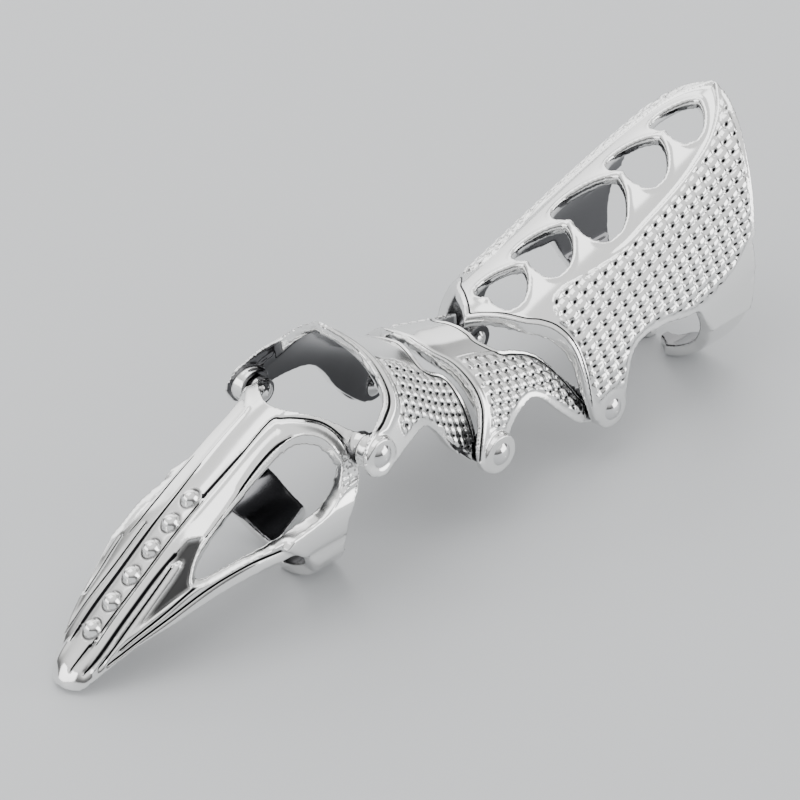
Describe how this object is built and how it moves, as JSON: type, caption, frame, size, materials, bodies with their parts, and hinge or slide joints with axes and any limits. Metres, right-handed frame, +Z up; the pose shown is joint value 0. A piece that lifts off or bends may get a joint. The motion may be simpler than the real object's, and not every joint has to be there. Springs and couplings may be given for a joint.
{
  "type": "knuckle armor ring",
  "caption": "Full-finger armour ring: a pointed claw, knuckle plates and a pierced shield on riveted hinges, held on the finger by split cuffs.",
  "frame": {"origin": "middle of the bounding box, on the surface that the ring lies on", "axes": "+X along the finger towards the hand, +Z up out of the surface, +Y across the finger"},
  "size_m": [0.09, 0.0224, 0.0267],
  "materials": {
    "plated_casting": "bright silver-coloured plating on cast metal",
    "plated_rivet": "bright silver-coloured plating"
  },
  "bodies": {
    "base": {"base_shield": "plated_casting", "rivet_rear_near": "plated_rivet", "rivet_rear_far": "plated_rivet"},
    "rear": {"rear_plate": "plated_casting", "rivet_middle_near": "plated_rivet", "rivet_middle_far": "plated_rivet"},
    "front": {"front_plate": "plated_casting", "rivet_front_near": "plated_rivet", "rivet_front_far": "plated_rivet"},
    "tip": {"claw": "plated_casting"}
  },
  "joints": [
    {"name": "rear_hinge", "type": "hinge", "parent": "base", "child": "rear", "pos_m": [0.01805, 0, 0.005], "axis": [0, -1, 0], "range_deg": [0, 55]},
    {"name": "middle_hinge", "type": "hinge", "parent": "rear", "child": "front", "pos_m": [0.00285, 0, 0.007], "axis": [0, -1, 0], "range_deg": [0, 55]},
    {"name": "front_hinge", "type": "hinge", "parent": "front", "child": "tip", "pos_m": [-0.01235, 0, 0.0141], "axis": [0, -1, 0], "range_deg": [-45, 0]}
  ]
}
